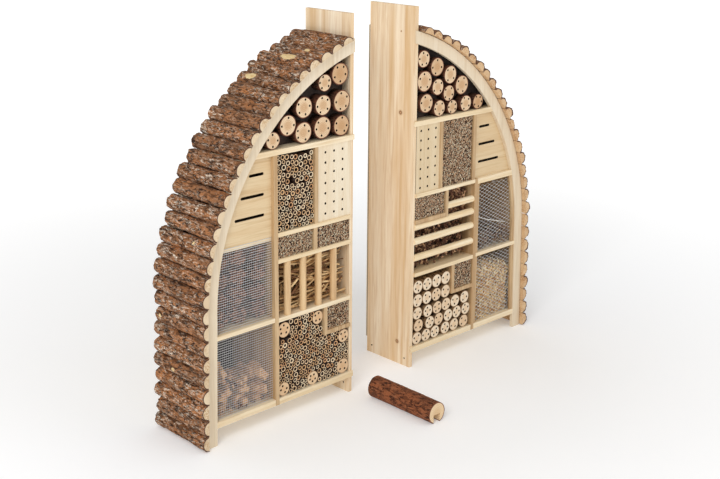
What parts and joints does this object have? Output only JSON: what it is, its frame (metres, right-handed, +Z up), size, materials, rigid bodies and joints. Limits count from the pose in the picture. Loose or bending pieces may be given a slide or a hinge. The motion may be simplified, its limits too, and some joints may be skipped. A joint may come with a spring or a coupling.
{
  "type": "insect hotel",
  "caption": "Large wooden insect hotel in two mirrored arched halves with bark slab roofs, nesting cells, wire mesh bays and a loose grooved ridge log.",
  "frame": {"origin": "centre of the foot of the left half's spine board, on the ground", "axes": "+X from the left half to the right half along the front, +Y from the front to the back, +Z up"},
  "size_m": [1.0955, 0.413, 0.9],
  "materials": {
    "bamboo": "dry cane with dark bores",
    "bark": "rough natural bark with pale sawn ends",
    "bark_chip": "rough dark chips",
    "birch_ply": "fine sanded plywood",
    "block_softwood": "planed pale softwood",
    "branch_slice": "sanded end grain with bark round the edge",
    "dark_liner": "charcoal stained, matt",
    "dowel_wood": "smooth turned softwood",
    "galvanised_wire": "dull zinc",
    "pine_cone": "open dry scales",
    "reed": "dry cut reed ends",
    "split_wood": "rough split",
    "spruce_board": "planed spruce with visible grain",
    "straw": "dry shavings and straw",
    "twig": "dry twigs",
    "zinc_screw": "zinc plated"
  },
  "bodies": {
    "left_half": {"left_back_panel": "birch_ply", "left_bark_slabs": "bark", "left_cell_dividers": "spruce_board", "left_corner_cell": "spruce_board", "left_crown_liner": "dark_liner", "left_crown_shelf": "spruce_board", "left_crown_slices": "branch_slice", "left_dowels": "dowel_wood", "left_drilled_block": "block_softwood", "left_front_arch": "birch_ply", "left_inner_base_shelf": "spruce_board", "left_lower_bamboo": "bamboo", "left_lower_shelf": "spruce_board", "left_lower_slices": "branch_slice", "left_main_divider": "spruce_board", "left_mesh_shelf": "spruce_board", "left_middle_shelf": "spruce_board", "left_outer_base_shelf": "spruce_board", "left_panel_screws": "zinc_screw", "left_pine_cones": "pine_cone", "left_rear_arch": "birch_ply", "left_reeds": "reed", "left_slot_panel": "spruce_board", "left_slot_shelf": "spruce_board", "left_spine_board": "spruce_board", "left_twig_stack": "twig", "left_upper_bamboo": "bamboo", "left_upper_shelf": "spruce_board", "left_wire_mesh": "galvanised_wire", "left_wood_chunks": "split_wood"},
    "right_half": {"right_back_panel": "birch_ply", "right_bark_chips": "bark_chip", "right_bark_slabs": "bark", "right_cell_dividers": "spruce_board", "right_corner_cell": "spruce_board", "right_cross_bars": "dowel_wood", "right_crown_liner": "dark_liner", "right_crown_shelf": "spruce_board", "right_crown_slices": "branch_slice", "right_drilled_block": "block_softwood", "right_front_arch": "birch_ply", "right_inner_base_shelf": "spruce_board", "right_lower_shelf": "spruce_board", "right_lower_slices": "branch_slice", "right_main_divider": "spruce_board", "right_mesh_battens": "spruce_board", "right_mesh_shelf": "spruce_board", "right_outer_base_shelf": "spruce_board", "right_panel_screws": "zinc_screw", "right_rear_arch": "birch_ply", "right_reed_cell": "spruce_board", "right_reeds": "reed", "right_slot_panel": "spruce_board", "right_slot_shelf": "spruce_board", "right_spine_board": "spruce_board", "right_straw": "straw", "right_twigs": "twig", "right_upper_shelf": "spruce_board", "right_wire_mesh": "galvanised_wire"},
    "ridge_log": {"ridge_log": "bark"}
  },
  "joints": [
    {"name": "right_half_slide", "type": "slide", "parent": "left_half", "child": "right_half", "axis": [-1, 0, 0], "range_m": [0, 0.198]},
    {"name": "ridge_log_lift", "type": "slide", "parent": "left_half", "child": "ridge_log", "axis": [0, 0, 1], "range_m": [0, 0.88]}
  ]
}
